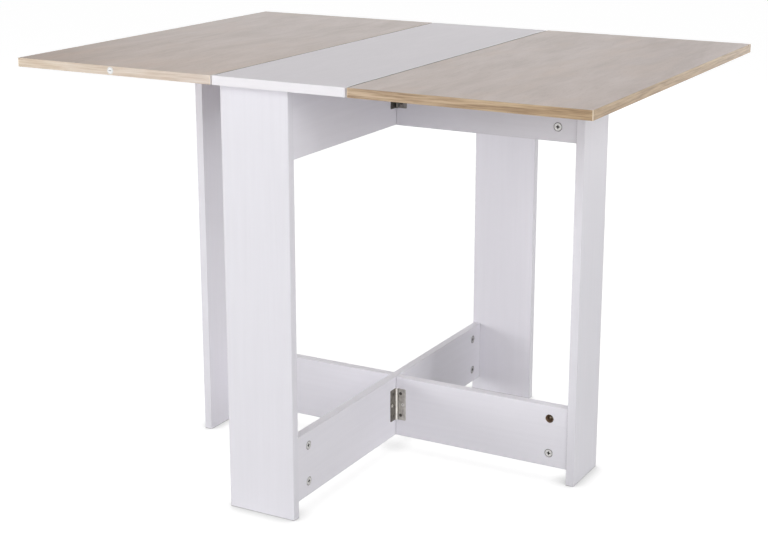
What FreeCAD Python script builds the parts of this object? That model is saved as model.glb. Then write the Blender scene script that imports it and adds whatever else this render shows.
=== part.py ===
"""Butterfly folding table: a narrow fixed frame, two swinging gates and two hinged leaves.

The origin is on the floor below the middle of the top. +X runs along the table, across the
seams between the boards, +Y points to the back and +Z up. The table looks the same after
half a turn about Z, so what stands on the left is made on the right and turned round.
"""

import FreeCAD, Part
import os
import re

SIZES = [
    # the top
    ("table_length", 1030, "over both raised leaves"),
    ("table_width", 760, "front edge of the top to its back edge"),
    ("table_height", 734, "floor to the top's upper face"),
    ("board", 15, "thickness of every board"),
    ("strip_width", 240, "fixed middle board of the top"),
    ("seam_gap", 3.6, "air between the middle board and a leaf"),
    ("edging", 1, "thickness of the edging round the top's boards"),
    ("edge_round", 0.6, "rounding along the edges of the boards"),
    # the legs and the rails
    ("end_inset", 18, "end of the top to the outer face of a fixed leg"),
    ("fixed_leg_width", 126, "width of the front and rear legs"),
    ("fixed_leg_lip", 1, "how far a fixed leg passes the main rails' face"),
    ("gate_leg_width", 106, "width of a gate's leg"),
    ("gate_leg_lip", 2, "how far a gate's leg passes the face of its rails"),
    ("rail_height", 113, "height of every rail"),
    ("floor_gap", 28, "floor to the lower rails"),
    ("gate_front", 10, "middle of the table to the face of a gate's rails"),
    ("gate_end_gap", 0.5, "main rails' face to the ends of a gate's rails"),
    ("gate_top_gap", 0.5, "top of a gate to the underside of its leaf"),
    # the gates' butt hinges
    ("gate_hinge_length", 60, "length of the barrel"),
    ("gate_hinge_wing", 18, "pin to the free edge of a plate"),
    ("gate_hinge_plate", 1.2, "thickness of the plates"),
    ("gate_hinge_barrel", 5.2, "diameter of the barrel"),
    ("gate_hinge_pin", 2.6, "diameter of the pin"),
    ("gate_hinge_air", 0.15, "barrel to the faces of the boards"),
    ("gate_hinge_rise", 31, "lower edge of a rail to the end of its hinge"),
    ("gate_hinge_pitch", 21, "one screw to the next along the hinge"),
    # the leaves' flush hinges
    ("leaf_hinge_length", 50, "length of the barrel"),
    ("leaf_hinge_wing", 20, "pin to the free edge of a plate"),
    ("leaf_hinge_plate", 1, "thickness of the plates"),
    ("leaf_hinge_pin", 1.8, "diameter of the pin"),
    ("leaf_hinge_air", 0.1, "barrel to the edges of the boards in the seam"),
    ("leaf_hinge_place", 230, "middle of the table to the middle of a hinge"),
    ("leaf_hinge_pitch", 17, "one screw to the next along the hinge"),
    ("mortise_play", 0.1, "air round a plate in its recess"),
    # what the hinges share
    ("pin_play", 0.05, "air round a pin, on the radius"),
    ("knuckle_gap", 0.3, "air between two knuckles"),
    ("knuckle_relief", 0.4, "air round a knuckle in the other plate"),
    ("plate_corner", 1.5, "rounding of the plates' free corners"),
    ("screw_near", 8, "pin to the two outer screws of a plate"),
    ("screw_far", 12.5, "pin to the middle screw of a plate"),
    # countersunk screws
    ("screw_head", 6, "diameter of the head"),
    ("screw_shank", 3, "diameter of the shank"),
    ("screw_length", 12, "over the head and the shank"),
    ("screw_play", 0.1, "air round a screw"),
    ("screw_slot", 3.2, "span of the cross in the head"),
    ("screw_slot_width", 0.7, "width of one arm of the cross"),
    ("screw_slot_depth", 0.9, "depth of the cross"),
    # cam locks and their bolts
    ("cam_diameter", 15, "diameter of a cam"),
    ("cam_depth", 12.5, "height of a cam"),
    ("cam_face", 3.5, "solid metal behind the face of a cam"),
    ("cam_play", 0.1, "air round a cam in its hole"),
    ("cam_setback", 34, "end of a rail to the middle of a cam"),
    ("cam_pitch", 64, "one cam to the other across a rail"),
    ("cam_land", 13, "diameter of the raised middle of a cam's face"),
    ("cam_step", 0.8, "how far the rim round it lies back"),
    ("cam_bridge", 3, "how wide the rim stays level on the bolt's side"),
    ("cam_arrow", 1, "middle to a corner of the arrow mark in that place"),
    ("cam_cross", 6.8, "span of the cross in a cam"),
    ("cam_cross_width", 2, "width of one arm of the cross"),
    ("cam_cross_depth", 2, "depth of the cross"),
    ("cam_pit", 3.6, "diameter of the round pit in the middle of the cross"),
    ("bolt_thread", 6, "diameter of the threaded end"),
    ("bolt_grip", 11, "how far a bolt is driven in"),
    ("bolt_shank", 5, "diameter of the shank"),
    ("bolt_neck", 3.2, "diameter of the neck"),
    ("bolt_neck_length", 4, "length of the neck"),
    ("bolt_head", 6.4, "diameter of the head"),
    ("bolt_head_length", 3, "length of the head"),
    ("bolt_bore", 8, "diameter of the bore in the end of a rail"),
    ("bolt_play", 0.1, "air round a thread and at its end"),
    ("head_play", 0.4, "air round a bolt's head inside a cam"),
    ("top_cam_pitch", 160, "one fixing of the top to the next"),
    # wooden dowels
    ("dowel_diameter", 8, "diameter of a dowel"),
    ("dowel_length", 30, "length of a dowel"),
    ("dowel_grip", 10, "how far a dowel goes into the second board"),
    ("dowel_play", 0.1, "air round a dowel and at its ends"),
    ("leg_dowel_pitch", 64, "between the two dowels on top of a fixed leg"),
    # the round label on the left leaf
    ("label_diameter", 12, "diameter of the label"),
    ("label_thickness", 0.2, "thickness of the label"),
    ("label_place", 320, "middle of the table to the label"),
    # the cutting shapes
    ("overcut", 1, "how far a cutting shape passes the face it opens"),
]

KNUCKLES = 5
BOX_EDGES = tuple(range(1, 13))

RIGHT = FreeCAD.Vector(1, 0, 0)
LEFT = FreeCAD.Vector(-1, 0, 0)
BACK = FreeCAD.Vector(0, 1, 0)
FRONT = FreeCAD.Vector(0, -1, 0)
UP = FreeCAD.Vector(0, 0, 1)
DOWN = FreeCAD.Vector(0, 0, -1)
AS_MADE = FreeCAD.Placement()
HALF_TURN = FreeCAD.Placement(FreeCAD.Vector(), FreeCAD.Rotation(UP, 180))

doc = FreeCAD.newDocument("ButterflyTable")
sheet = doc.addObject("Spreadsheet::Sheet", "sizes")
for row, (alias, number, words) in enumerate(SIZES, start=1):
    sheet.set(f"A{row}", words)
    sheet.set(f"B{row}", str(number))
    sheet.setAlias(f"B{row}", alias)
doc.recompute()
ALIASES = {alias for alias, number, words in SIZES}


# ---- places worked out from the sizes -----------------------------------------------------

underside = "(table_height - board)"
strip_side = "(strip_width / 2)"
leaf_inner = f"({strip_side} + seam_gap)"
leaf_outer = "(table_length / 2)"
top_end = "(table_width / 2)"
leg_outer = f"({top_end} - end_inset)"
leg_inner = f"({leg_outer} - board)"
fixed_leg_right = "(board / 2 + fixed_leg_lip)"
fixed_leg_left = f"({fixed_leg_right} - fixed_leg_width)"
lower_rail = "floor_gap"
upper_rail = f"({underside} - rail_height)"
gate_upper_rail = f"({upper_rail} - gate_top_gap)"
gate_top = f"({underside} - gate_top_gap)"
hinge_rail = {"bottom": lower_rail, "top": gate_upper_rail}

# The folded gate's leg lies flush with the fixed leg beside it, which sets the gate's reach.
gate_seat = "(gate_hinge_barrel / 2 + gate_hinge_air)"
gate_pin_x = f"(board / 2 + {gate_seat})"
gate_pin_y = f"(-gate_front - {gate_seat})"
gate_leg_outer = f"({leg_outer} + board / 2 - gate_front)"
gate_leg_inner = f"({gate_leg_outer} - board)"
gate_rail_start = "(board / 2 + gate_end_gap)"
gate_rail_middle = "(board / 2 - gate_front)"

# The leaf's pin lies in the middle of the seam, as high above the underside as the seam is half wide.
leaf_seat = "(seam_gap / 2)"
leaf_barrel = f"(2 * ({leaf_seat} - leaf_hinge_air))"
leaf_pin_x = f"({strip_side} + {leaf_seat})"
leaf_pin_z = f"({underside} + {leaf_seat})"


# ---- small helpers ------------------------------------------------------------------------

def value(alias):
    """The number in the sheet's cell of that name."""
    return float(sheet.get(alias))


def bind(thing, **expressions):
    """Ties properties to the sheet. Dots in a property's name are written as two underscores."""
    for name, words in expressions.items():
        tied = re.sub(r"[a-z_]+", lambda w: f"sizes.{w[0]}" if w[0] in ALIASES else w[0], str(words))
        thing.setExpression(name.replace("__", "."), tied)


def put(thing, at, turn=FreeCAD.Rotation()):
    """Turns a thing and ties its place to the sheet."""
    thing.Placement = FreeCAD.Placement(FreeCAD.Vector(), turn)
    bind(thing, Placement__Base__x=at[0], Placement__Base__y=at[1], Placement__Base__z=at[2])
    return thing


def facing(x_way, z_way):
    """The turn that points a thing's own X and Z along these two directions."""
    return FreeCAD.Rotation(x_way, z_way.cross(x_way), z_way, "XYZ")


def block(name, low, size):
    """A box from its lowest corner."""
    solid = doc.addObject("Part::Box", name)
    bind(solid, Length=size[0], Width=size[1], Height=size[2])
    return put(solid, low)


def rod(name, diameter, start, end):
    """A cylinder along its own Z, from start to end."""
    solid = doc.addObject("Part::Cylinder", name)
    bind(solid, Radius=f"({diameter}) / 2", Height=f"({end}) - ({start})")
    return put(solid, (0, 0, start))


def soften(name, solid, radius, edges=BOX_EDGES):
    """A box with some of its edges rounded."""
    rounded = doc.addObject("Part::Fillet", name)
    rounded.Base = solid
    rounded.Edges = [(edge, value(radius), value(radius)) for edge in edges]
    return rounded


def fuse(name, parts):
    joined = doc.addObject("Part::MultiFuse", name)
    joined.Shapes = parts
    return joined


def cut(name, base, tools):
    """The base with every tool taken out of it."""
    carved = doc.addObject("Part::Cut", name)
    carved.Base = base
    carved.Tool = fuse(name + "_tools", tools) if len(tools) > 1 else tools[0]
    return carved


def common(name, first, second):
    shared = doc.addObject("Part::Common", name)
    shared.Base = first
    shared.Tool = second
    return shared


def group(name, parts, place=AS_MADE):
    """Several solids as one object, side by side and not joined."""
    gathered = doc.addObject("Part::Compound", name)
    gathered.Links = parts
    gathered.Placement = place
    return gathered


def copy(master, name, at, turn=FreeCAD.Rotation()):
    """The same solid once more, somewhere else. The copy's place stands in for the master's own."""
    linked = doc.addObject("App::Link", name)
    linked.LinkedObject = master
    return put(linked, at, turn)


def both_sides(name, parts):
    """The parts of the right side and the same again after half a turn."""
    right = group(name + "_right", parts)
    return [right, group(name + "_left", [right], HALF_TURN)]


NODES = []


def node(name, parts, place=AS_MADE):
    """One finished piece, or one group of identical ones, under its own name."""
    piece = group(name, parts, place)
    piece.Label = name
    NODES.append(piece)


# ---- fasteners: each is made once, and a cutting shape with its clearance goes with it -----

def make_screw(name, play):
    """A countersunk screw: the face of its head at Z 0, its shank down along -Z."""
    cone = doc.addObject("Part::Cone", name + "_head")
    bind(
        cone,
        Radius1=f"screw_shank / 2 + {play}",
        Radius2=f"screw_head / 2 + {play}",
        Height="(screw_head - screw_shank) / 2",
    )
    put(cone, (0, 0, "-(screw_head - screw_shank) / 2"))
    shank = rod(name + "_shank", f"screw_shank + 2 * {play}", f"-screw_length - {play}", "-screw_slot_depth / 2")
    return fuse(name, [cone, shank])


def make_cross(name, span, width, depth):
    """Two crossed slots, down from Z 0."""
    arms = [
        block(name + "_arm", (f"-{span} / 2", f"-{width} / 2", f"-{depth}"), (span, width, f"{depth} + overcut")),
        block(name + "_arm", (f"-{width} / 2", f"-{span} / 2", f"-{depth}"), (width, span, f"{depth} + overcut")),
    ]
    return fuse(name, arms)


def make_cam():
    """A cam: its face at Z 0, its body down along -Z, open towards +X for the bolt."""
    body = rod("cam_body", "cam_diameter", "-cam_depth", 0)
    room = "(bolt_head / 2 + head_play)"
    channel = block(
        "cam_channel",
        (f"-{room}", f"-{room}", "-cam_depth - overcut"),
        (f"{room} + cam_diameter", f"2 * {room}", "cam_depth - cam_face + overcut"),
    )
    outer = rod("cam_rim_outer", "cam_diameter + overcut", "-cam_step", "overcut")
    land = rod("cam_rim_inner", "cam_land", "-cam_step - overcut", "2 * overcut")
    bridge = block(
        "cam_rim_bridge",
        (0, "-cam_bridge / 2", "-cam_step - overcut"),
        ("cam_diameter", "cam_bridge", "cam_step + 3 * overcut"),
    )
    rim = cut("cam_rim_step", outer, [land, bridge])
    arrow = doc.addObject("Part::Prism", "cam_arrow_mark")
    arrow.Polygon = 3
    bind(arrow, Circumradius="cam_arrow", Height="cam_step + overcut")
    put(arrow, ("(cam_land - cam_arrow) / 2", 0, "-cam_step"))
    cross = make_cross("cam_recess", "cam_cross", "cam_cross_width", "cam_cross_depth")
    pit = rod("cam_recess_pit", "cam_pit", "-cam_cross_depth", "overcut")
    return cut("cam_master", body, [channel, rim, arrow, cross, pit])


def make_bolt():
    """A cam's bolt: Z 0 is the face of the second board, which the thread enters along +Z."""
    head_start = "(-cam_setback - bolt_head_length / 2)"
    head_end = "(-cam_setback + bolt_head_length / 2)"
    neck_end = f"({head_end} + bolt_neck_length)"
    return fuse(
        "bolt_master",
        [
            rod("bolt_thread_end", "bolt_thread", 0, "bolt_grip"),
            rod("bolt_shank_part", "bolt_shank", neck_end, 0),
            rod("bolt_neck_part", "bolt_neck", head_end, neck_end),
            rod("bolt_head_part", "bolt_head", head_start, head_end),
        ],
    )


SCREW = cut(
    "screw_master",
    make_screw("screw_body", "0"),
    [make_cross("screw_recess", "screw_slot", "screw_slot_width", "screw_slot_depth")],
)
SCREW_HOLE = make_screw("screw_hole", "screw_play")
CAM = make_cam()
CAM_HOLE = group(
    "cam_hole_master",
    [rod("cam_hole", "cam_diameter + 2 * cam_play", "-cam_depth - cam_play", "overcut")],
)
BOLT = make_bolt()
BOLT_HOLE = fuse(
    "bolt_hole",
    [
        rod("bolt_thread_hole", "bolt_thread + 2 * bolt_play", "-overcut", "bolt_grip + bolt_play"),
        rod("bolt_rail_bore", "bolt_bore", "-cam_setback", 0),
    ],
)
DOWEL = group(
    "dowel_master",
    [rod("dowel", "dowel_diameter", "dowel_grip - dowel_length", "dowel_grip")],
)
DOWEL_HOLE = group(
    "dowel_hole_master",
    [
        rod(
            "dowel_hole",
            "dowel_diameter + 2 * dowel_play",
            "dowel_grip - dowel_length - dowel_play",
            "dowel_grip + dowel_play",
        )
    ],
)


def across(way):
    """A direction square to this one, for things that are round about it."""
    return RIGHT if way in (UP, DOWN) else UP


def along(place, way, distance):
    """The place moved by a distance along one of the main directions."""
    return tuple(f"{start} + ({part:g}) * ({distance})" for start, part in zip(place, way))


class Fixings:
    """What holds the end of a rail to a board: cams, bolts, dowels and the holes for them."""

    def __init__(self):
        self.cams = []
        self.bolts = []
        self.dowels = []
        self.holes = []

    def dowel(self, at, into):
        turn = facing(across(into), into)
        self.dowels.append(copy(DOWEL, "dowel", at, turn))
        self.holes.append(copy(DOWEL_HOLE, "dowel_hole", at, turn))

    def bolt(self, at, into, cam_side, empty=False):
        """One bolt in the middle of the rail's thickness, and its cam on the rail's face."""
        turn = facing(across(into), into)
        self.bolts.append(copy(BOLT, "bolt", at, turn))
        self.holes.append(copy(BOLT_HOLE, "bolt_hole", at, turn))
        seat = along(along(at, into, "-cam_setback"), cam_side, "board / 2")
        turn = facing(into, cam_side)
        self.holes.append(copy(CAM_HOLE, "cam_hole", seat, turn))
        if not empty:
            self.cams.append(copy(CAM, "cam", seat, turn))

    def rail_end(self, at, into, cam_side, empty_upper=False):
        """Two bolts and a dowel between them, about the middle of the rail's end."""
        self.bolt(along(at, UP, "-cam_pitch / 2"), into, cam_side)
        self.bolt(along(at, UP, "cam_pitch / 2"), into, cam_side, empty_upper)
        self.dowel(at, into)


# ---- hinges: pin along Z, plate towards +X, its flat side at Y = seat -----------------------

def knuckle_span(length, number):
    """Lower and upper end of one knuckle's share of the barrel."""
    start = f"({length} * {number / KNUCKLES - 0.5:g})"
    end = f"({length} * {(number + 1) / KNUCKLES - 0.5:g})"
    return start, end


def screw_places(pitch, entry):
    """Two screws near the pin and one further out between them."""
    return [("screw_near", entry, f"-{pitch}"), ("screw_far", entry, 0), ("screw_near", entry, pitch)]


class HingeKind:
    """The plates, pin and screws of one kind of hinge, made once about its own pin."""

    def __init__(self, name, seat, barrel, screw_entry, screw_way):
        self.seat = seat
        self.barrel = barrel
        self.length = f"{name}_length"
        self.wing = f"{name}_wing"
        self.thickness = f"{name}_plate"
        self.pin_size = f"{name}_pin"
        turn = facing(UP, screw_way)
        places = screw_places(f"{name}_pitch", screw_entry)
        self.screws = group(name + "_screws", [copy(SCREW, "screw", at, turn) for at in places])
        self.holes = fuse(name + "_holes", [copy(SCREW_HOLE, "screw_hole", at, turn) for at in places])
        self.outer_plate = self.plate(name + "_outer_plate", own=0)
        self.inner_plate = self.plate(name + "_inner_plate", own=1)
        pin = rod(name + "_pin_rod", self.pin_size, f"-{self.length} / 2", f"{self.length} / 2")
        self.pin = group(name + "_pin_master", [pin])

    def plate(self, name, own):
        """A plate with every second knuckle; own is 0 for the end knuckles and 1 for those between."""
        flat = block(
            name + "_flat",
            (0, f"{self.seat} - {self.thickness}", f"-{self.length} / 2"),
            (self.wing, self.thickness, self.length),
        )
        free_corners = (6, 8)
        solids = [soften(name + "_rounded", flat, "plate_corner", free_corners)]
        tools = [rod(name + "_bore", f"{self.pin_size} + 2 * pin_play", f"-{self.length}", self.length), self.holes]
        reach = f"({self.barrel} / 2 + knuckle_relief)"
        for number in range(KNUCKLES):
            start, end = knuckle_span(self.length, number)
            if number % 2 == own:
                solids.append(
                    rod(name + "_knuckle", self.barrel, f"{start} + knuckle_gap / 2", f"{end} - knuckle_gap / 2")
                )
            else:
                low = (f"-{reach}", f"-{reach}", f"{start} - knuckle_gap / 2")
                size = (f"2 * {reach}", f"{reach} + {self.seat} + overcut", f"{end} - {start} + knuckle_gap")
                tools.append(block(name + "_relief", low, size))
        return cut(name, fuse(name + "_solid", solids), tools)


GATE_HINGE = HingeKind(
    "gate_hinge", gate_seat, "gate_hinge_barrel", f"{gate_seat} - gate_hinge_plate", FRONT
)
LEAF_HINGE = HingeKind("leaf_hinge", leaf_seat, leaf_barrel, leaf_seat, BACK)

# A leaf hinge's plate lies in a recess, with the screws' holes at its bottom.
LEAF_HINGE_SEAT = fuse(
    "leaf_hinge_seat",
    [
        block(
            "leaf_hinge_recess",
            (0, f"{leaf_seat} - leaf_hinge_plate - mortise_play", "-leaf_hinge_length / 2 - mortise_play"),
            (
                "leaf_hinge_wing + mortise_play",
                "leaf_hinge_plate + mortise_play + overcut",
                "leaf_hinge_length + 2 * mortise_play",
            ),
        ),
        LEAF_HINGE.holes,
    ],
)


# ---- boards -------------------------------------------------------------------------------

def board(name, low, high, holes):
    """A board between two corners, with rounded edges and its holes."""
    size = [f"{end} - ({start})" for start, end in zip(low, high)]
    return cut(name, soften(name + "_rounded", block(name + "_blank", low, size), "edge_round"), holes)


def edged(name, blank, low, high):
    """Splits a board of the top into its core and the four strips of edging round it."""
    x0, y0, z0 = (f"({end})" for end in low)
    x1, y1, z1 = (f"({end})" for end in high)
    deep = f"{z1} - {z0} + 2 * overcut"
    base = f"{z0} - overcut"
    wide = f"{x1} - {x0} + 2 * overcut"
    side = f"{y1} - {y0} - 2 * edging"
    band = "edging + overcut"
    core = block(name + "_core", (f"{x0} + edging", f"{y0} + edging", base), (f"{x1} - {x0} - 2 * edging", side, deep))
    strips = [
        block(name + "_front", (f"{x0} - overcut", f"{y0} - overcut", base), (wide, band, deep)),
        block(name + "_back", (f"{x0} - overcut", f"{y1} - edging", base), (wide, band, deep)),
        block(name + "_left", (f"{x0} - overcut", f"{y0} + edging", base), (band, side, deep)),
        block(name + "_right", (f"{x1} - edging", f"{y0} + edging", base), (band, side, deep)),
    ]
    edging = [common(strip.Name + "_strip", blank, strip) for strip in strips]
    return common(name + "_board", blank, core), group(name + "_edging", edging)


def make_frame():
    """The fixed legs and the two main rails between them, each rail with its fixings."""
    upper = Fixings()
    lower = Fixings()
    for sign, into in (("-", FRONT), ("", BACK)):
        lower.rail_end((0, f"{sign}{leg_inner}", f"{lower_rail} + rail_height / 2"), into, RIGHT)
        upper.rail_end((0, f"{sign}{leg_inner}", f"{upper_rail} + rail_height / 2"), into, LEFT)

    top = Fixings()
    for step in (-1.5, -0.5, 0.5, 1.5):
        top.bolt((0, f"{step} * top_cam_pitch", underside), UP, LEFT)

    leg_top = Fixings()
    for side in ("-", "+"):
        middle = f"({fixed_leg_left} + {fixed_leg_right}) / 2"
        leg_top.dowel((f"{middle} {side} leg_dowel_pitch / 2", f"-{leg_outer} + board / 2", underside), UP)

    front_leg = board(
        "fixed_leg_board",
        (fixed_leg_left, f"-{leg_outer}", 0),
        (fixed_leg_right, f"-{leg_inner}", underside),
        upper.holes + lower.holes + leg_top.holes,
    )
    node("front_leg", [front_leg])
    node("rear_leg", [front_leg], HALF_TURN)

    hinge_holes = []
    for height in hinge_rail.values():
        hinge_holes += both_sides("rail_hinge_holes", [gate_hinge_copy(GATE_HINGE.holes, height, on_gate=False)])
    low = ("-board / 2", f"-{leg_inner}")
    high = ("board / 2", leg_inner)
    main_bottom = board(
        "main_bottom_board",
        (*low, lower_rail),
        (*high, f"{lower_rail} + rail_height"),
        lower.holes + hinge_holes,
    )
    main_top = board(
        "main_top_board",
        (*low, upper_rail),
        (*high, underside),
        upper.holes + top.holes + hinge_holes,
    )
    node("main_bottom_rail", [main_bottom])
    node("main_top_rail", [main_top])
    node("frame_cams", lower.cams + upper.cams)
    node("frame_cam_bolts", lower.bolts + upper.bolts)
    node("frame_dowels", lower.dowels + upper.dowels)
    node("top_fixing_cams", top.cams)
    node("top_fixing_bolts", top.bolts)
    node("leg_top_dowels", both_sides("leg_dowels", leg_top.dowels))
    return top.holes + both_sides("leg_dowel_holes", leg_top.holes)


def gate_hinge_copy(master, rail_bottom, on_gate):
    """Sets a part of a gate hinge at a rail, on the gate's side of the pin or the frame's."""
    at = (gate_pin_x, gate_pin_y, f"{rail_bottom} + gate_hinge_rise + gate_hinge_length / 2")
    turn = facing(RIGHT, UP) if on_gate else facing(FRONT, DOWN)
    return copy(master, "gate_hinge_part", at, turn)


def make_gates():
    """A gate is two rails and a leg. The right one points along +X; the left one is turned round."""
    upper = Fixings()
    lower = Fixings()
    upper.rail_end((gate_leg_inner, gate_rail_middle, f"{gate_upper_rail} + rail_height / 2"), RIGHT, FRONT)
    lower.rail_end((gate_leg_inner, gate_rail_middle, f"{lower_rail} + rail_height / 2"), RIGHT, FRONT)

    leg_front = "(-gate_front - gate_leg_lip)"
    leg = board(
        "gate_leg_board",
        (gate_leg_inner, leg_front, 0),
        (gate_leg_outer, f"{leg_front} + gate_leg_width", gate_top),
        upper.holes + lower.holes,
    )
    rails = {}
    for name, bottom, fixings in (("bottom", lower_rail, lower), ("top", gate_upper_rail, upper)):
        rails[name] = board(
            f"gate_{name}_board",
            (gate_rail_start, "-gate_front", bottom),
            (gate_leg_inner, "board - gate_front", f"{bottom} + rail_height"),
            fixings.holes + [gate_hinge_copy(GATE_HINGE.holes, hinge_rail[name], on_gate=True)],
        )
    cams = group("gate_cams", lower.cams + upper.cams)
    bolts = group("gate_bolts", lower.bolts + upper.bolts)
    dowels = group("gate_dowels", lower.dowels + upper.dowels)
    screws = [gate_hinge_copy(GATE_HINGE.screws, height, on_gate=True) for height in hinge_rail.values()]

    # The right gate's lower rail stands with its upper cam left out.
    fitted = [cam for cam in lower.cams + upper.cams if cam is not lower.cams[1]]
    for side, place in (("right", AS_MADE), ("left", HALF_TURN)):
        node(f"{side}_gate_leg", [leg], place)
        node(f"{side}_gate_bottom_rail", [rails["bottom"]], place)
        node(f"{side}_gate_top_rail", [rails["top"]], place)
        node(f"{side}_gate_cams", fitted if side == "right" else [cams], place)
        node(f"{side}_gate_cam_bolts", [bolts], place)
        node(f"{side}_gate_dowels", [dowels], place)
        node(f"{side}_gate_hinge_screws", screws, place)
        for name, height in hinge_rail.items():
            hinge = f"{side}_gate_{name}_hinge"
            node(f"{hinge}_gate_plate", [gate_hinge_copy(GATE_HINGE.inner_plate, height, on_gate=True)], place)
            node(f"{hinge}_rail_plate", [gate_hinge_copy(GATE_HINGE.outer_plate, height, on_gate=False)], place)
            node(f"{hinge}_pin", [gate_hinge_copy(GATE_HINGE.pin, height, on_gate=False)], place)
    rail_screws = [gate_hinge_copy(GATE_HINGE.screws, height, on_gate=False) for height in hinge_rail.values()]
    node("gate_hinge_rail_screws", both_sides("rail_screws", rail_screws))


def leaf_hinge_copy(master, end, on_leaf):
    """Sets a part of a leaf hinge in the right seam; end is -1 for the front and 1 for the back."""
    at = (leaf_pin_x, f"{end} * leaf_hinge_place", leaf_pin_z)
    turn = facing(RIGHT, BACK) if on_leaf else facing(LEFT, FRONT)
    return copy(master, "leaf_hinge_part", at, turn)


def make_top(frame_holes):
    """The middle board, the two leaves, their edging and the hinges in the seams."""
    ends = (-1, 1)
    strip_seats = [leaf_hinge_copy(LEAF_HINGE_SEAT, end, on_leaf=False) for end in ends]
    leaf_seats = [leaf_hinge_copy(LEAF_HINGE_SEAT, end, on_leaf=True) for end in ends]

    low, high = (f"-{strip_side}", f"-{top_end}", underside), (strip_side, top_end, "table_height")
    blank = board("strip_blank", low, high, both_sides("strip_seats", strip_seats) + frame_holes)
    core, edging = edged("strip", blank, low, high)
    node("centre_top", [core])
    node("centre_top_edging", [edging])

    low, high = (leaf_inner, f"-{top_end}", underside), (leaf_outer, top_end, "table_height")
    blank = board("leaf_blank", low, high, leaf_seats)
    core, edging = edged("leaf", blank, low, high)
    leaf_screws = [leaf_hinge_copy(LEAF_HINGE.screws, end, on_leaf=True) for end in ends]
    for side, place, names in (("right", AS_MADE, ("front", "rear")), ("left", HALF_TURN, ("rear", "front"))):
        node(f"{side}_leaf", [core], place)
        node(f"{side}_leaf_edging", [edging], place)
        node(f"{side}_leaf_hinge_screws", leaf_screws, place)
        for name, end in zip(names, ends):
            hinge = f"{side}_leaf_{name}_hinge"
            node(f"{hinge}_leaf_plate", [leaf_hinge_copy(LEAF_HINGE.inner_plate, end, on_leaf=True)], place)
            node(f"{hinge}_strip_plate", [leaf_hinge_copy(LEAF_HINGE.outer_plate, end, on_leaf=False)], place)
            node(f"{hinge}_pin", [leaf_hinge_copy(LEAF_HINGE.pin, end, on_leaf=False)], place)
    strip_screws = [leaf_hinge_copy(LEAF_HINGE.screws, end, on_leaf=False) for end in ends]
    node("leaf_hinge_strip_screws", both_sides("strip_screws", strip_screws))


def make_label():
    """A thin round label in the middle of the left leaf's front edge."""
    disc = rod("label_disc", "label_diameter", 0, "label_thickness")
    at = ("-label_place", f"-{top_end}", "table_height - board / 2")
    node("part_label", [copy(disc, "label", at, facing(RIGHT, FRONT))])


def check_and_export():
    """Stops on any failed object, then writes one file for each piece."""
    doc.recompute()
    for thing in doc.Objects:
        if {"Invalid", "Error"} & set(thing.State):
            raise RuntimeError(f"{thing.Name} failed: {thing.State}")
    for piece in NODES:
        if piece.Shape.isNull() or not piece.Shape.isValid() or not piece.Shape.Solids:
            raise RuntimeError(f"{piece.Label} has no valid solid")
    os.makedirs("parts", exist_ok=True)
    for piece in NODES:
        piece.Shape.exportStep(os.path.join("parts", piece.Label + ".step"))
        print(f"{piece.Label}: {len(piece.Shape.Solids)} solid(s), {piece.Shape.Volume / 1000:.1f} cm3")
    print(f"{len(NODES)} pieces")


make_top(make_frame())
make_gates()
make_label()
check_and_export()
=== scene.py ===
# %% [markdown]
# # A butterfly folding table in Blender
#
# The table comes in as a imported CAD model. Every board, hinge plate, screw, cam lock and dowel
# is already there, in metres and at its true place, so hardly any shape is left to make. What
# makes it look real is its finishes: printed oak, white melamine, edge banding, plated steel
# and the raw chipboard inside a drilled hole. Most cells below build one of them.

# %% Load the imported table
import math

import bmesh
import bpy
from mathutils import Matrix, Vector


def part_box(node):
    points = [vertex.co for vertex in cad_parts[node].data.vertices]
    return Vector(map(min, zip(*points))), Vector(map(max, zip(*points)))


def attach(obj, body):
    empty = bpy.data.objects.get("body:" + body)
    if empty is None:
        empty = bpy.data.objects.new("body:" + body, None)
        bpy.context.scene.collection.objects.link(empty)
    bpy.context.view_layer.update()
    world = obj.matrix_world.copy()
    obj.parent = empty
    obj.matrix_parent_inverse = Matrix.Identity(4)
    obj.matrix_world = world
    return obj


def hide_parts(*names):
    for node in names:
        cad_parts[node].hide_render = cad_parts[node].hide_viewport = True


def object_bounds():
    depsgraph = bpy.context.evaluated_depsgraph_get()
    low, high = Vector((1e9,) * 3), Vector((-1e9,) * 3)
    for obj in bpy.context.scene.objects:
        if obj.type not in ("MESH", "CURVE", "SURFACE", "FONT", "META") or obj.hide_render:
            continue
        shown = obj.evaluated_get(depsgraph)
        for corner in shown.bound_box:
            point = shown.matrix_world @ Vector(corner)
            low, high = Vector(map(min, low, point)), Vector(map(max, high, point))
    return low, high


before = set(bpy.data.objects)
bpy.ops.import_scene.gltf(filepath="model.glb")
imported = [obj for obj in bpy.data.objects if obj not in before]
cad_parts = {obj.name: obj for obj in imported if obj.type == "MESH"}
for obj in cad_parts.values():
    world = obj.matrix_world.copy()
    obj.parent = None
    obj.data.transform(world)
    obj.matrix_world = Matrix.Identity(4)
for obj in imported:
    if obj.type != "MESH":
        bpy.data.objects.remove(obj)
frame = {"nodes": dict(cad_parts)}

scene = bpy.context.scene
nodes = frame["nodes"]
cad_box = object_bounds()
cad_size = [round(high - low, 4) for low, high in zip(*cad_box)]
print(len(nodes), "CAD nodes in a box of", cad_size, "m")

# %% [markdown]
# ## The camera
#
# A table looks most like itself from a little above its top and through a long lens, so that
# the far legs look nearly as tall as the near ones. A small downward shift of the film keeps
# the feet in the picture without tilting the camera any further.

# %% Place the camera
LENS = 73.15
SENSOR = 36
CAMERA_AT = (1.2839, -2.3666, 1.1149)
CAMERA_TILT = 75.33
CAMERA_TURN = 28.9
FILM_SHIFT = -0.05


def link(name, data):
    """An object for this data, linked to the scene."""
    made = bpy.data.objects.new(name, data)
    scene.collection.objects.link(made)
    return made


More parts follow.
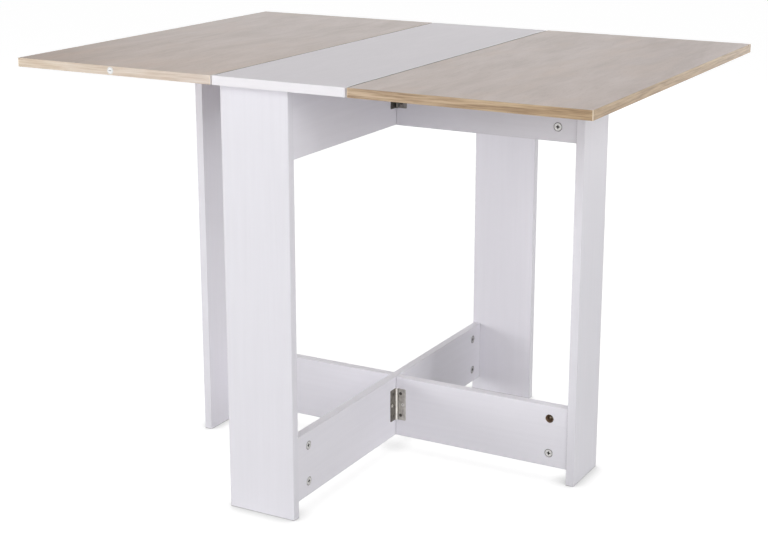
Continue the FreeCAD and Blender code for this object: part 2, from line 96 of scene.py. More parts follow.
camera = link("studio_camera", bpy.data.cameras.new("studio_camera"))
camera.data.lens = LENS
camera.data.sensor_width = SENSOR
camera.data.shift_y = FILM_SHIFT
camera.data.clip_end = 100
camera.location = CAMERA_AT
camera.rotation_euler = (math.radians(CAMERA_TILT), 0, math.radians(CAMERA_TURN))
scene.camera = camera
print("lens", LENS, "mm, camera", round(Vector(CAMERA_AT).length, 2), "m from the table's foot")

# %% [markdown]
# ## Shader maths that reads like maths
#
# A finish in Blender is a net of nodes. Wiring each one by hand hides the idea behind it, so
# two small classes help. `Wire` stands for the output of a node, and `+ - *` on wires add
# Math nodes. `Nodes` adds any other node with one method: its type, its settings, and the
# values or wires of its sockets.

# %% Two classes for node trees
class Wire:
    """The output of a shader node. Sums, products and comparisons of wires add Math nodes."""

    def __init__(self, nodes, socket):
        self.nodes = nodes
        self.socket = socket

    def math(self, operation, first, second):
        return self.nodes.node("Math", {"operation": operation}, {0: first, 1: second})

    def __add__(self, other):
        return self.math("ADD", self, other)

    def __sub__(self, other):
        return self.math("SUBTRACT", self, other)

    def __rsub__(self, other):
        return self.math("SUBTRACT", other, self)

    def __mul__(self, other):
        return self.math("MULTIPLY", self, other)

    def __gt__(self, other):
        return self.math("GREATER_THAN", self, other)

    def __lt__(self, other):
        return self.math("LESS_THAN", self, other)

    def __pow__(self, other):
        return self.math("POWER", self, other)

    def __abs__(self):
        return self.math("ABSOLUTE", self, 0)

    __radd__ = __add__
    __rmul__ = __mul__


class Nodes:
    """A node tree, and the one way in which nodes are added to it."""

    def __init__(self, tree):
        self.tree = tree

    def node(self, kind, settings=None, sockets=None, output=0):
        """Adds a node with its settings and the values of its sockets. Returns one output."""
        made = self.tree.nodes.new("ShaderNode" + kind)
        for name, setting in (settings or {}).items():
            if name == "stops":
                self.fill_ramp(made.color_ramp, setting)
            else:
                setattr(made, name, setting)
        for name, value in (sockets or {}).items():
            self.plug(made.inputs[name], value)
        return Wire(self, made.outputs[output]) if made.outputs else None

    def plug(self, socket, value):
        """Links a wire to a socket, or sets the socket to a plain value."""
        if isinstance(value, Wire):
            self.tree.links.new(value.socket, socket)
        else:
            socket.default_value = value

    @staticmethod
    def fill_ramp(ramp, stops):
        """Puts (place, colour) stops on a colour ramp, which starts with two."""
        for _ in stops[2:]:
            ramp.elements.new(0.5)
        for element, (place, colour) in zip(ramp.elements, stops):
            element.position = place
            element.color = colour


print("wires and nodes are ready")

# %% [markdown]
# ## A white studio
#
# The table stands on a white sweep under large soft lamps, which are set so that a board shows
# about the colour that it is painted with. The white behind the table is not more light: the
# floor and the sky are simply white to the camera and to reflections, while everything else
# sees a grey floor and a dim sky. The floor keeps a little of its real shading, and with it the
# soft shadow under each leg. Right where a leg meets the floor, an Ambient Occlusion node finds
# that the leg hides part of the room, and darkens the last few centimetres.

# %% Make the sky and the floor
SKY_LEVEL = 0.02
FLOOR_WHITE = 0.985
FLOOR_REACH = 16
CONTACT_REACH = 0.04
CONTACT_DARK = 1.2
CONTACT_CURVE = 1.5
DIRECT_RAYS = ("Is Camera Ray", "Is Glossy Ray", "Is Transmission Ray")


def tone(red, green, blue):
    """A colour socket's value from three linear shares."""
    return (red, green, blue, 1)


def grey(share):
    """The same share of red, green and blue."""
    return tone(share, share, share)


def seen_directly(tree):
    """1 for the camera and for reflections, 0 for light that bounces between surfaces."""
    first, *others = [tree.node("LightPath", output=kind) for kind in DIRECT_RAYS]
    return sum(others, first)


WHITE = grey(1)
FLOOR_GREY = grey(0.8)
FLOOR_FAINT = grey(0.16)


world = bpy.data.worlds.new("studio_sky")
world.use_nodes = True
world.node_tree.nodes.clear()
sky = Nodes(world.node_tree)
dim = sky.node("Background", sockets={"Color": WHITE, "Strength": SKY_LEVEL})
bright = sky.node("Background", sockets={"Color": WHITE, "Strength": 1})
both = sky.node("MixShader", sockets={0: seen_directly(sky), 1: dim, 2: bright})
sky.node("OutputWorld", sockets={"Surface": both})
scene.world = world

floor_finish = bpy.data.materials.new("studio_floor")
floor_finish.use_nodes = True
floor_finish.node_tree.nodes.clear()
paper = Nodes(floor_finish.node_tree)
shaded = paper.node("BsdfDiffuse", sockets={"Color": FLOOR_GREY})
faint = paper.node("BsdfDiffuse", sockets={"Color": FLOOR_FAINT})
reach = {"Distance": CONTACT_REACH}
hidden = 1 - paper.node("AmbientOcclusion", {"samples": 16}, reach, output="AO")
contact = hidden ** CONTACT_CURVE * CONTACT_DARK
glow = paper.node("Emission", sockets={"Color": WHITE, "Strength": (1 - contact) * FLOOR_WHITE})
lit = paper.node("AddShader", sockets={0: faint, 1: glow})
both = paper.node("MixShader", sockets={0: seen_directly(paper), 1: shaded, 2: lit})
paper.node("OutputMaterial", sockets={"Surface": both})

sheet = bmesh.new()
bmesh.ops.create_grid(sheet, x_segments=1, y_segments=1, size=FLOOR_REACH)
floor = link("studio_floor", bpy.data.meshes.new("studio_floor"))
sheet.to_mesh(floor.data)
sheet.free()
floor.data.materials.append(floor_finish)
print("floor of", 2 * FLOOR_REACH, "m and a sky at", SKY_LEVEL)

# %% [markdown]
# ## Soft lamps
#
# Each lamp is a large square of light that faces the table. Its level is the brightness that a
# white board facing it would show: for a square lamp that is its power over pi squared and the
# distance squared. So the levels of all the lamps can be read as shares of a full white.

# %% Hang the lamps
LAMPS = [
    # name, degrees round from the front, degrees up, level
    ("left_lamp", -65, 4, 0.76),
    ("front_left_lamp", -25, 20, 0.11),
    ("front_lamp", 5, 20, 0.21),
    ("right_lamp", 65, 20, 0.50),
    ("rear_lamp", 170, 12, 0.30),
    ("rear_left_lamp", -150, 20, 0.12),
    ("overhead_lamp", 180, 65, 0.09),
]
LAMP_AWAY = 4.0
LAMP_ACROSS = 2.4
AIM = Vector((0, 0, 0.4))

for name, turn, rise, level in LAMPS:
    turn, rise = math.radians(turn), math.radians(rise)
    flat = math.cos(rise)
    way = Vector((math.sin(turn) * flat, -math.cos(turn) * flat, math.sin(rise)))
    lamp = link(name, bpy.data.lights.new(name, "AREA"))
    lamp.data.size = LAMP_ACROSS
    lamp.data.energy = level * (math.pi * LAMP_AWAY) ** 2
    lamp.location = AIM + way * LAMP_AWAY
    lamp.rotation_euler = way.to_track_quat("Z", "Y").to_euler()
    print(name, round(lamp.data.energy), "W")

scene.view_settings.view_transform = "Standard"

# %% [markdown]
# ## What every finish shares
#
# A finish is one Principled shader and the patterns that feed it. The patterns are read in
# metres from the object's own coordinates, which for a CAD node are the table's. So a grain
# that is made 2 mm wide is 2 mm wide on the board, and a node's box tells how far below its
# faces a point lies: that is how the wall of a drilled hole gets another colour than the face.

# %% A class for finishes
class Finish(Nodes):
    """A material with one Principled shader, whose patterns are measured in metres."""

    def __init__(self, name, **gloss):
        self.material = bpy.data.materials.new(name)
        self.material.use_nodes = True
        super().__init__(self.material.node_tree)
        self.shader = self.tree.nodes["Principled BSDF"]
        self.place = self.node("TexCoord", output="Object")
        self.set(**gloss)

    def set(self, **gloss):
        """Sets or wires the shader's sockets: base_color is its Base Color, and so on."""
        for name, value in gloss.items():
            socket = name.replace("_", " ").title().replace("Ior", "IOR")
            self.plug(self.shader.inputs[socket], value)

    def axes(self):
        """The point's X, Y and Z as three wires."""
        parts = self.node("SeparateXYZ", sockets={0: self.place})
        return [Wire(self, socket) for socket in parts.socket.node.outputs]

    def noise(self, size, detail=2.0, roughness=0.5, shift=0.0, place=None):
        """Soft noise from 0 to 1. size is the width of its blots along X, Y and Z, in metres."""
        scaled = self.node("Mapping", sockets={
            "Vector": place or self.place,
            "Location": (shift, shift, shift),
            "Scale": [1 / width for width in size],
        })
        blots = {"Vector": scaled, "Scale": 1.0, "Detail": detail, "Roughness": roughness}
        return self.node("TexNoise", sockets=blots)

    def levels(self, value, low, high):
        """0 below low, 1 above high and even in between."""
        return self.node("MapRange", {"clamp": True}, {0: value, 1: low, 2: high, 3: 0.0, 4: 1.0})

    def mix(self, share, first, second, blend="MIX"):
        """One colour where share is 0 and the other where it is 1."""
        settings = {"data_type": "RGBA", "blend_type": blend, "clamp_factor": True}
        return self.node("Mix", settings, {0: share, 6: first, 7: second}, output=2)

    def ramp(self, value, *stops):
        """Colours along a value, as (place, colour) stops."""
        return self.node("ValToRGB", {"stops": stops}, {"Fac": value})

    def bump(self, height, depth, strength, corner=0.0):
        """A relief whose height of 1 stands depth metres above 0. Corners shine as if rounded."""
        sockets = {"Height": height, "Distance": depth, "Strength": strength}
        if corner:
            sockets["Normal"] = self.node("Bevel", {"samples": 6}, {"Radius": corner})
        self.plug(self.shader.inputs["Normal"], self.node("Bump", sockets=sockets))

    def depths(self, node):
        """How far the point lies inside the node's box, from the nearer side along X, Y and Z."""
        sides = zip(self.axes(), *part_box(node))
        return [at.math("MINIMUM", at - low, high - at) for at, low, high in sides]


def paint(finish, *names):
    """Puts a finish on all the slots of these CAD nodes."""
    for name in names:
        for slot in nodes[name].material_slots:
            slot.material = finish.material
    print(finish.material.name, "on", ", ".join(names))


def middle_of(node):
    """The middle of a CAD node's box."""
    low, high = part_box(node)
    return (low + high) / 2


# %% [markdown]
# ## Raw chipboard
#
# Under the melamine lies chipboard: pressed wood chips of many browns. It shows only in the
# walls of holes and recesses. Crushed chips are cells of about 2 mm, so a Voronoi texture
# gives each chip its own brown, and noise adds the dark glue between them.

# %% A helper that opens up the chipboard
CHIP_BROWNS = (
    (0.00, tone(0.16, 0.100, 0.065)),
    (0.45, tone(0.29, 0.195, 0.125)),
    (1.00, tone(0.48, 0.355, 0.240)),
)
CHIP_WIDTH = 0.0022
SKIN = 0.0004


def chipboard(finish):
    """A colour like the cut edge of chipboard."""
    cells = {"Vector": finish.place, "Scale": 1 / CHIP_WIDTH, "Randomness": 1.0}
    chips = finish.node("TexVoronoi", {"feature": "F1"}, cells, output="Color")
    brown = finish.node("SeparateXYZ", sockets={0: chips})
    dust = finish.noise((0.0008, 0.0008, 0.0008), detail=3)
    return finish.ramp(brown * 0.7 + dust * 0.3, *CHIP_BROWNS)


def hole_walls(finish, node):
    """1 on the walls of holes and recesses, which lie deeper than the skin on every side."""
    across, along, up = finish.depths(node)
    inside = across.math("MINIMUM", across, along)
    return inside.math("MINIMUM", inside, up) > SKIN


print("chipboard skin at", SKIN * 1000, "mm")

# %% [markdown]
# ## White melamine
#
# The legs and rails are chipboard with a white printed skin, pressed against a steel plate that
# leaves a faint wood emboss in it. Seen from a step away that is only a trace of streaks along
# the board. The narrow faces are covered by glued-on edge banding, which is smoother and painted
# a little greyer than the face as painted shade, and whose joint with the face shows as a
# hairline near the corner. Where a rail's end meets a leg, a dark line of painted shade marks the
# crevice. No two boards come from the same sheet, so each has its own place in the noise, and a
# few are painted a little darker or lighter, as painted shade and painted light.

# %% Finish the legs and the rails
BOARD_WHITE = tone(0.850, 0.838, 0.888)
BOARD_STREAK = tone(0.820, 0.808, 0.857)
SHADED_BAND_WHITE = tone(0.798, 0.788, 0.835)
BAND_JOINT = tone(0.55, 0.53, 0.53)
CREVICE_SHADE = tone(0.20, 0.19, 0.19)
BAND_THICK = 0.0008
JOINT_WIDTH = 0.00025
CREVICE_WIDTH = 0.0007
CORNER_ROUND = 0.0008
NEXT_BOARD = 3.7
SIDES = ("right", "left")
LEGS = ["front_leg", "rear_leg", "right_gate_leg", "left_gate_leg"]
WHITE_BOARDS = ["front_leg", "rear_leg", "main_top_rail", "main_bottom_rail"]
for side in SIDES:
    WHITE_BOARDS += [f"{side}_gate_{part}" for part in ("leg", "bottom_rail", "top_rail")]
# Painted shade and painted light: these boards are made darker or lighter as a whole.
BOARD_PAINTED_SHADING = {
    "right_gate_bottom_rail": 1.01,
    "right_gate_top_rail": 0.94,
    "main_bottom_rail": 0.98,
    "rear_leg": 1.03,
}


def stretched(long_axis, across, along):
    """The size of a blot that is drawn out along one axis."""
    size = [across, across, across]
    size[long_axis] = along
    return size


def ends_at_legs(node, axis):
    """The ends of a rail that butt against a leg."""
    faces = [side[axis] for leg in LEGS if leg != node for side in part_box(leg)]
    ends = [end[axis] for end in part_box(node)]
    return [end for end in ends if min(abs(end - face) for face in faces) < SKIN]


def white_board(node, shift, painted_shading):
    """White melamine with its grain along the node's longest side and bands on its narrow faces."""
    low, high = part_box(node)
    sides = sorted(range(3), key=lambda axis: high[axis] - low[axis])
    thin, broad, long = sides
    finish = Finish("white_board_" + node, roughness=0.42, specular_ior_level=0.35)
    depths = finish.depths(node)

    streaks = finish.noise(stretched(long, 0.006, 0.16), detail=3, shift=shift)
    clouds = finish.noise((0.12, 0.12, 0.12), detail=1, shift=shift)
    pores = finish.noise(stretched(long, 0.0007, 0.012), detail=2, shift=shift)
    figure = finish.levels(streaks * 0.7 + clouds * 0.3, 0.3, 0.72)
    face = finish.mix(figure, BOARD_WHITE, BOARD_STREAK)

    edge = depths[broad].math("MINIMUM", depths[broad], depths[long])
    on_face = depths[thin] < SKIN
    band = 1 - on_face * (edge > BAND_THICK)
    joint = on_face * (edge > BAND_THICK) * (edge < BAND_THICK + JOINT_WIDTH)
    # Painted shade: the banding on the narrow faces is a little greyer than the face.
    skin = finish.mix(band, face, SHADED_BAND_WHITE)
    skin = finish.mix(joint * 0.6, skin, BAND_JOINT)
    # Painted shade: a dark line where the rail's end butts against a leg.
    for end in ends_at_legs(node, long):
        crevice_shade = abs(finish.axes()[long] - end) < CREVICE_WIDTH
        skin = finish.mix(crevice_shade * 0.8, skin, CREVICE_SHADE)
    # Painted shade and painted light: the board's colour is scaled by its level.
    skin = finish.mix(1.0, skin, grey(painted_shading), "MULTIPLY")

    raw = hole_walls(finish, node)
    finish.set(base_color=finish.mix(raw, skin, chipboard(finish)))
    finish.set(roughness=0.40 + 0.10 * pores + 0.45 * raw)
    finish.bump(pores * (1 - band), 0.00003, 0.3, CORNER_ROUND)
    return finish


for place, name in enumerate(WHITE_BOARDS):
    paint(white_board(name, NEXT_BOARD * place, BOARD_PAINTED_SHADING.get(name, 1.0)), name)

# %% [markdown]
# ## The white middle board of the top
#
# The middle board has the same white skin with its grain along the table's depth, and a thicker
# band of 1 mm round it. The bands inside the two seams beside it get painted shade a little below
# the top, where the narrow seam lies in shadow. The painted shade stops short of the front edge.

# %% Finish the middle board and its edging
STRIP_WHITE = tone(0.757, 0.712, 0.756)
STRIP_WAVE = tone(0.723, 0.680, 0.723)
STRIP_BAND = tone(0.935, 0.915, 0.945)
STRIP_BAND_DULL = tone(0.895, 0.875, 0.91)
SEAM_SHADE = tone(0.12, 0.105, 0.09)
SEAM_SKIN = 0.0003
TABLE_FRONT = cad_box[0].y
TABLE_TOP = cad_box[1].z


def seam_shade(finish, colour, facing_seam):
    """Paints shade onto the upper part of the bands inside a seam, where the narrow gap is in
    shadow.
    """
    below = TABLE_TOP - finish.axes()[2]
    # Painted shade from just below the top down to about 8 mm, stopping short of the front edge.
    shade_share = finish.levels(below, 0.0003, 0.0009) * (1 - finish.levels(below, 0.004, 0.008))
    shade_starts = TABLE_FRONT + 0.008, TABLE_FRONT + 0.020
    shade_share = shade_share * finish.levels(finish.axes()[1], *shade_starts)
    uneven = finish.levels(finish.noise((0.03, 0.03, 0.004), detail=3), 0.2, 0.5)
    return finish.mix(shade_share * facing_seam * (0.55 + 0.35 * uneven), colour, SEAM_SHADE)


strip = Finish("white_laminate", specular_ior_level=0.25)
waves = strip.noise((0.010, 0.055, 0.010), detail=3, roughness=0.6)
broad_waves = strip.noise((0.05, 0.22, 0.05), detail=2)
pores = strip.noise((0.0008, 0.011, 0.0008), detail=2)
figure = strip.levels(waves * 0.6 + broad_waves * 0.4, 0.32, 0.70)
white = strip.mix(figure, STRIP_WHITE, STRIP_WAVE)
raw = hole_walls(strip, "centre_top")
strip.set(base_color=strip.mix(raw, white, chipboard(strip)))
strip.set(roughness=0.38 + 0.12 * pores + 0.45 * raw)
strip.bump(pores + 0.8 * waves, 0.00004, 0.4)
paint(strip, "centre_top")

band = Finish("white_edging", specular_ior_level=0.4)
flow = band.noise((0.08, 0.08, 0.0015), detail=2)
in_seam = band.depths("centre_top_edging")[0] < SEAM_SKIN
# The bands inside the seams get painted shade.
band.set(base_color=seam_shade(band, band.mix(flow, STRIP_BAND, STRIP_BAND_DULL), in_seam))
band.set(roughness=0.30 + 0.10 * flow)
band.bump(flow, 0.00004, 0.4)
paint(band, "centre_top_edging")

# %% [markdown]
# ## Printed oak
#
# The leaves are covered with a greyish oak print. Real oak grows in rings, so a plank shows
# long bands that wander a little, darker and lighter patches a hand long, fine streaks and
# short dark pores, all drawn out along the grain. Each of these is one noise, stretched along
# Y. The sum of the first three picks a colour between a dark and a pale oak, and the pores go
# on top of it. The contrast is low: from a step away the top looks like one quiet grey-beige,
# a little warmer towards the front.

# %% Finish the leaves
OAK_DARK = tone(0.505, 0.417, 0.374)
OAK_MID = tone(0.586, 0.490, 0.451)
OAK_PALE = tone(0.653, 0.555, 0.519)
OAK_WARM = tone(0.649, 0.508, 0.425)
OAK_PORE = tone(0.384, 0.300, 0.253)
OAK_WASH = tone(0.985, 0.925, 0.850)


def oak_laminate(node, shift, warm_front):
    """Greyish printed oak with its grain along Y, a little warmer towards the front."""
    finish = Finish("oak_laminate_" + node, specular_ior_level=0.25)
    across, along, up = finish.axes()
    sway = finish.noise((0.16, 0.30, 0.16), detail=1, shift=shift)
    bent = finish.node("CombineXYZ", sockets={0: across + sway * 0.05, 1: along, 2: up})
    patches = finish.noise((0.050, 0.17, 0.3), detail=3, shift=shift, place=bent)
    bands = finish.noise((0.014, 0.09, 0.3), detail=3, roughness=0.6, shift=shift, place=bent)
    streaks = finish.noise((0.003, 0.045, 0.3), detail=3, shift=shift, place=bent)
    pores = finish.noise((0.0009, 0.014, 0.3), detail=2, shift=shift, place=bent)

    figure = finish.levels(patches * 0.5 + bands * 0.32 + streaks * 0.18, 0.34, 0.66)
    print_colour = finish.ramp(figure, (0.0, OAK_DARK), (0.5, OAK_MID), (1.0, OAK_PALE))
    glow = finish.noise((0.07, 0.20, 0.3), detail=2, shift=shift + 9, place=bent)
    warmth = finish.levels(glow, 0.50, 0.75)
    print_colour = finish.mix(warmth * 0.45, print_colour, OAK_WARM)
    pits = finish.levels(pores, 0.62, 0.72)
    print_colour = finish.mix(pits * 0.35, print_colour, OAK_PORE)
    front = 1 - finish.levels(along + 0.2 * (patches - 0.5), TABLE_FRONT, 0.10)
    print_colour = finish.mix(front * warm_front, print_colour, OAK_WASH, "MULTIPLY")

    raw = hole_walls(finish, node)
    finish.set(base_color=finish.mix(raw, print_colour, chipboard(finish)))
    finish.set(roughness=0.42 + 0.10 * streaks + 0.15 * pits + 0.35 * raw)
    finish.bump(1 - pits, 0.00008, 0.5)
    return finish


paint(oak_laminate("right_leaf", 0.0, 0.3), "right_leaf")
paint(oak_laminate("left_leaf", 21.0, 1.0), "left_leaf")

# %% [markdown]
# ## Oak edge banding
#
# The bands round the leaves are printed plastic too. Their print is warmer than the face, with
# streaks along the band: long in both flat directions and only a millimetre or two high. That
# is the same noise for the front and for the side bands, because each band runs along X or Y.
# Where two bands meet at a corner, the end of one shows its plain core as a pale line. The two
# leaves come from different rolls of band, so the left one is paler, and both turn a little
# warmer towards their outer ends.

# %% Finish the oak bands
CORE_PALE = tone(0.75, 0.62, 0.47)
SEAM_MOUTH_LIGHT = tone(0.95, 0.90, 0.85)
BAND_WASH = tone(0.91, 0.88, 0.79)
RIGHT_BAND = (tone(0.31, 0.21, 0.13), tone(0.475, 0.34, 0.225), tone(0.62, 0.48, 0.335))
LEFT_BAND = (tone(0.62, 0.505, 0.415), tone(0.72, 0.615, 0.53), tone(0.79, 0.705, 0.645))
SEAM_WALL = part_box("right_leaf_edging")[0].x + SEAM_SKIN
CORE_WIDTH = 0.0012


def oak_edging(node, shift, dark, mid, pale):
    """Printed banding with streaks along its length, warmer at the outer end."""
    finish = Finish("oak_edging_" + node, specular_ior_level=0.4)
    across, along, _ = finish.axes()
    lines = finish.noise((0.07, 0.07, 0.0024), detail=3, roughness=0.6, shift=shift)
    hairs = finish.noise((0.018, 0.018, 0.0006), detail=2, shift=shift)
    patches = finish.noise((0.09, 0.09, 0.008), detail=2, shift=shift + 5)
    figure = finish.levels(lines * 0.6 + hairs * 0.2 + patches * 0.2, 0.40, 0.62)
    colour = finish.ramp(figure, (0.0, dark), (0.45, mid), (1.0, pale))
    outer = finish.levels(abs(across), 0.15, 0.50)
    colour = finish.mix(outer, colour, BAND_WASH, "MULTIPLY")

    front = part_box(node)[0].y
    ends = (finish.depths(node)[0] < CORE_WIDTH) * (along < front + CORE_WIDTH)
    colour = finish.mix(ends, colour, CORE_PALE)
    in_seam = abs(across) < SEAM_WALL
    # Painted light: the seam walls near the front edge are made pale, as if lit.
    mouth_light = 1 - finish.levels(along, front + 0.010, front + 0.022)
    colour = finish.mix(in_seam * mouth_light, colour, SEAM_MOUTH_LIGHT)
    # The bands inside the seams get painted shade.
    finish.set(base_color=seam_shade(finish, colour, in_seam))
    finish.set(roughness=0.36 + 0.12 * lines)
    finish.bump(hairs, 0.00005, 0.4)
    return finish


paint(oak_edging("right_leaf_edging", 2.0, *RIGHT_BAND), "right_leaf_edging")
paint(oak_edging("left_leaf_edging", 8.0, *LEFT_BAND), "left_leaf_edging")

# %% [markdown]
# ## Plated steel hinges
#
# The hinges are pressed from sheet steel and plated with nickel, which looks grey and a little
# warm beside the white boards. Drawn sheet has fine lines along its length, so a very fine bump
# and part of the greys are drawn out along the barrel, while stains make some spots rougher.
# The plate on the fixed rail gets darker greys than the gate's plate, as painted shade. The
# rolled barrels of the lower hinges are painted bright as a painted highlight, and painted shade
# darkens the crease beside each barrel. The upper hinges sit below the top, and painted shade
# darkens them as a whole.

# %% Finish the hinges
SHADED_STEEL = (tone(0.14, 0.130, 0.118), tone(0.34, 0.320, 0.295))
PLAIN_STEEL = (tone(0.38, 0.360, 0.335), tone(0.64, 0.615, 0.575))
BARREL_HIGHLIGHT = tone(0.85, 0.820, 0.775)
CREASE_SHADE = tone(0.05, 0.046, 0.042)
BARREL_RADIUS = 0.0029
CREASE_REACH = 0.0043
UPPER_SHADE = tone(0.58, 0.57, 0.56)
HALF_HEIGHT = TABLE_TOP / 2
GATE_HINGES = [f"{side}_gate_{end}_hinge" for side in SIDES for end in ("bottom", "top")]
LEAF_HINGES = [f"{side}_leaf_{end}_hinge" for side in SIDES for end in ("front", "rear")]


def pin_distance(finish):
    """How far the point lies from the upright pin of the nearest gate hinge."""
    pin = middle_of(GATE_HINGES[0] + "_pin")
    across, along, _ = finish.axes()
    across = abs(across) - abs(pin.x)
    along = abs(along) - abs(pin.y)
    return (across * across + along * along) ** 0.5


def plated_steel(name, long_axis, dark, pale):
    """Nickel plating between two greys, with its rolling lines along one axis."""
    finish = Finish(name, metallic=1.0)
    lines = finish.noise(stretched(long_axis, 0.0006, 0.02), detail=2)
    stains = finish.noise((0.006, 0.006, 0.006), detail=3)
    plating = finish.mix(finish.levels(stains * 0.6 + lines * 0.4, 0.35, 0.65), dark, pale)
    low = finish.axes()[2] < HALF_HEIGHT
    # Painted shade: the hinges in the upper half, below the top, are darkened as a whole.
    plating = finish.mix(1 - low, plating, UPPER_SHADE, "MULTIPLY")
    reach = pin_distance(finish)
    # Painted highlight: the barrels of the lower hinges are painted bright.
    plating = finish.mix((reach < BARREL_RADIUS) * low * 0.8, plating, BARREL_HIGHLIGHT)
    # Painted shade in the crease beside the barrel.
    crease = (reach > BARREL_RADIUS) * (reach < CREASE_REACH)
    finish.set(base_color=finish.mix(crease * 0.75, plating, CREASE_SHADE))
    finish.set(roughness=0.36 + 0.22 * stains)
    finish.bump(lines, 0.00003, 0.4)
    return finish


HINGE_PIECES = [
    # finish, axis of its lines, tones, hinges, pieces
    # The plates on the fixed rail get darker greys as painted shade.
    ("hinge_steel_rail_side", 2, SHADED_STEEL, GATE_HINGES, ["_rail_plate"]),
    ("hinge_steel_gate_side", 2, PLAIN_STEEL, GATE_HINGES, ["_gate_plate"]),
    ("hinge_steel_pin", 2, PLAIN_STEEL, GATE_HINGES, ["_pin"]),
    ("hinge_steel_level", 1, PLAIN_STEEL, LEAF_HINGES, ["_strip_plate", "_leaf_plate", "_pin"]),
]
for name, axis, tones, hinges, pieces in HINGE_PIECES:
    plated = [hinge + piece for hinge in hinges for piece in pieces]
    paint(plated_steel(name, axis, *tones), *plated)

# %% [markdown]
# ## Screws, cam locks and bolts
#
# A screw's head is bright and its driver recess dark, with dust and painted shade in it. The
# recess is found by its depth below the head's own plane, which is one side of the node's box.
# Painted shade darkens the outer screws of a gate hinge, while the middle one keeps a near-white
# face as a painted highlight. The cam locks are cast zinc, duller and rougher than the screws.

# %% Finish the small metal parts
ZINC_FACE = tone(0.60, 0.59, 0.58)
ZINC_DULL = tone(0.52, 0.51, 0.50)
GROOVE_DUST_AND_SHADE = tone(0.16, 0.155, 0.15)
RECESS_DUST_AND_SHADE = tone(0.025, 0.024, 0.023)
SCREW_HIGHLIGHT = tone(0.97, 0.955, 0.92)
SCREW_PLAIN = tone(0.80, 0.78, 0.74)
SCREW_SHADE = tone(0.13, 0.12, 0.11)
GROOVE_DEPTH = 0.00015
SCREW_REACH = 0.006
CAMS = [
    # node, the axis that its heads face along, the side of its box that they lie on
    ("frame_cams", 0, "nearer"),
    ("top_fixing_cams", 0, "low"),
    ("right_gate_cams", 1, "low"),
    ("left_gate_cams", 1, "high"),
]
GATE_SCREWS = [
    ("gate_hinge_rail_screws", 0, "nearer"),
    ("right_gate_hinge_screws", 1, "low"),
    ("left_gate_hinge_screws", 1, "high"),
]
LEAF_SCREWS = ["leaf_hinge_strip_screws", "right_leaf_hinge_screws", "left_leaf_hinge_screws"]
BOLT_TONES = (tone(0.17, 0.130, 0.095), tone(0.30, 0.245, 0.185))


def recess_depth(finish, node, axis, side):
    """How far the point lies below one side of the node's box, or below the nearer of two."""
    if side == "nearer":
        return finish.depths(node)[axis]
    low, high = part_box(node)
    at = finish.axes()[axis]
    return at - low[axis] if side == "low" else high[axis] - at


def middle_screws(finish):
    """1 on the middle screw of each gate hinge, at the height of the middle of its pin."""
    heights = [middle_of(hinge + "_pin").z for hinge in GATE_HINGES[:2]]
    return sum(abs(finish.axes()[2] - height) < SCREW_REACH for height in heights)


def recessed_metal(name, heads, bright, plain, rough, outer_shade=False):
    """Specked metal, nearly black in its recesses with dust and painted shade. On gate hinges,
    painted shade darkens all but the middle screws.
    """
    finish = Finish(name, metallic=1.0)
    specks = finish.noise((0.0009, 0.0009, 0.0009), detail=3)
    face = finish.mix(finish.levels(specks, 0.3, 0.7), bright, plain)
    # Painted shade on the outer screws of each gate hinge. The middle ones keep a near-white
    # painted highlight.
    if outer_shade:
        face = finish.mix(middle_screws(finish), SCREW_SHADE, face)
    below = recess_depth(finish, *heads)
    # Dust and painted shade: grey in shallow grooves, nearly black deeper in a recess.
    groove = finish.levels(below, GROOVE_DEPTH, GROOVE_DEPTH * 2)
    deep = finish.levels(below, GROOVE_DEPTH * 3, GROOVE_DEPTH * 5)
    finish.set(base_color=finish.mix(deep, finish.mix(groove, face, GROOVE_DUST_AND_SHADE), RECESS_DUST_AND_SHADE))
    finish.set(roughness=rough + 0.15 * specks)
    finish.bump(specks, 0.00004, 0.4)
    return finish


for node, axis, side in CAMS:
    name, heads = "cam_zinc_" + node, (node, axis, side)
    paint(recessed_metal(name, heads, ZINC_FACE, ZINC_DULL, 0.42), node)
for node, axis, side in GATE_SCREWS:
    name, heads = "screw_steel_" + node, (node, axis, side)
    metal = recessed_metal(name, heads, SCREW_HIGHLIGHT, SCREW_PLAIN, 0.25, outer_shade=True)
    paint(metal, node)
heads = (LEAF_SCREWS[0], 2, "low")
paint(recessed_metal("screw_steel_leaf", heads, SCREW_PLAIN, ZINC_FACE, 0.25), *LEAF_SCREWS)

bolt = Finish("bolt_steel", metallic=1.0)
dents = bolt.noise((0.002, 0.002, 0.002), detail=2)
bolt.set(base_color=bolt.mix(dents, *BOLT_TONES))
bolt.set(roughness=0.35 + 0.16 * dents)
bolt.bump(dents, 0.00003, 0.3)
paint(bolt, "frame_cam_bolts", "top_fixing_bolts", "right_gate_cam_bolts", "left_gate_cam_bolts")

# %% [markdown]
# ## Beech dowels
#
# Dowels are turned from beech: pinkish brown with small darker flecks. They are hidden in
# their holes, but a part that is taken apart still shows them.

# %% Finish the dowels
BEECH_TONES = (tone(0.56, 0.38, 0.24), tone(0.68, 0.49, 0.33))
BEECH_FLECK = tone(0.38, 0.23, 0.13)

beech = Finish("dowel_beech", roughness=0.6)
fibres = beech.noise((0.004, 0.004, 0.004), detail=4, roughness=0.7)
flecks = beech.levels(beech.noise((0.0009, 0.0009, 0.0009), detail=2), 0.58, 0.66)
wood = beech.mix(fibres, *BEECH_TONES)
beech.set(base_color=beech.mix(flecks * 0.5, wood, BEECH_FLECK))
beech.bump(fibres, 0.00008, 0.4)
paint(beech, "frame_dowels", "leg_top_dowels", "right_gate_dowels", "left_gate_dowels")

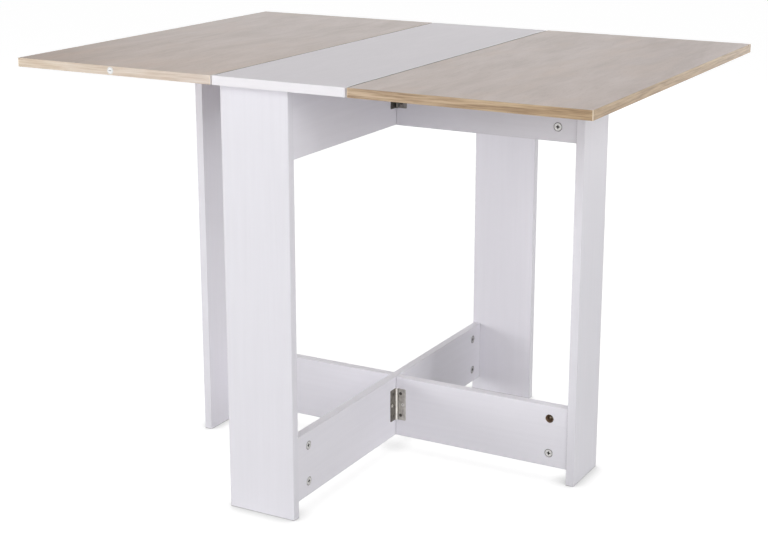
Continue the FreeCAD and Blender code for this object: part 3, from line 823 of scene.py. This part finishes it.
# %% [markdown]
# ## The round label
#
# A paper label of 12 mm sticks on the front edge of the left leaf, with a thin grey ring and a
# plain numeral 1 that lies on its side. Such labels tell the parts of a kit apart. The label,
# the ring and the numeral are three flat pieces, together hardly thinner than the CAD label
# that they stand for. A ring is a small rectangle spun round an axis, and a numeral starts as
# text.

# %% Make the label, its ring and its numeral
LABEL_PAPER = 0.00015
PRINT_INK = 0.00004
RING_MIDDLE = 0.0050
RING_HALF = 0.0003
NUMERAL_SIZE = 0.0085
ROUND_STEPS = 64
RIGHT_ANGLE = math.radians(90)
PAPER_TONES = (grey(0.93), grey(0.86))
GREY_INK = (tone(0.45, 0.45, 0.44), tone(0.55, 0.55, 0.54))
BLACK_INK = (grey(0.06), grey(0.12))

label_low, label_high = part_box("part_label")
label_middle = middle_of("part_label")
back = Vector((label_middle.x, label_high.y, label_middle.z))
upright = Matrix.Translation(back) @ Matrix.Rotation(RIGHT_ANGLE, 4, "X")


def ink_or_paper(name, one, other, grain):
    """A matt film that varies a little between two tones."""
    finish = Finish(name, roughness=0.55)
    finish.set(base_color=finish.mix(finish.noise((grain, grain, grain), detail=2), one, other))
    return finish


def label_piece(name, mesh_data, finish):
    """Turns a flat piece upright onto the edge of the leaf and lets it ride there."""
    mesh_data.transform(upright)
    made = link(name, mesh_data)
    made.data.materials.append(finish.material)
    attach(made, "left_leaf")
    return made


def closed(mesh, name):
    """Turns the faces outwards and hands over the mesh data."""
    bmesh.ops.recalc_face_normals(mesh, faces=mesh.faces[:])
    data = bpy.data.meshes.new(name)
    mesh.to_mesh(data)
    mesh.free()
    return data


disc = bmesh.new()
radius = (label_high.x - label_low.x) / 2
drum = {"segments": ROUND_STEPS, "radius1": radius, "radius2": radius, "depth": LABEL_PAPER}
bmesh.ops.create_cone(disc, cap_ends=True, **drum)
bmesh.ops.translate(disc, verts=disc.verts[:], vec=(0, 0, LABEL_PAPER / 2))
white_paper = ink_or_paper("label_paper", *PAPER_TONES, 0.0006)
disc = label_piece("label_disc", closed(disc, "label_disc"), white_paper)
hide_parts("part_label")

ring = bmesh.new()
section = [(-1, 0), (1, 0), (1, 1), (-1, 1)]
section = [(RING_MIDDLE + x * RING_HALF, 0, LABEL_PAPER + z * PRINT_INK) for x, z in section]
corners = [ring.verts.new(corner) for corner in section]
sides = [ring.edges.new((corners[i - 1], corners[i])) for i in range(len(corners))]
turn = {"axis": (0, 0, 1), "angle": math.tau, "steps": ROUND_STEPS, "use_merge": True}
bmesh.ops.spin(ring, geom=corners + sides, cent=(0, 0, 0), dvec=(0, 0, 0), **turn)
grey_ink = ink_or_paper("label_grey_ink", *GREY_INK, 0.0004)
label_piece("label_ring", closed(ring, "label_ring"), grey_ink)

text = bpy.data.curves.new("label_text", "FONT")
text.body = "1"
text.size = NUMERAL_SIZE
text.align_x = "CENTER"
text.align_y = "CENTER"
text.extrude = PRINT_INK / 2
writing = link("label_text", text)
solved = writing.evaluated_get(bpy.context.evaluated_depsgraph_get())
numeral = bpy.data.meshes.new_from_object(solved)
bpy.data.objects.remove(writing)
raised = Matrix.Translation((0, 0, LABEL_PAPER + PRINT_INK / 2))
numeral.transform(raised @ Matrix.Rotation(RIGHT_ANGLE, 4, "Z"))
numeral.materials.clear()
black_ink = ink_or_paper("label_black_ink", *BLACK_INK, 0.0004)
label_piece("label_numeral", numeral, black_ink)
print("label of", round(2000 * radius, 1), "mm with a ring and a numeral")
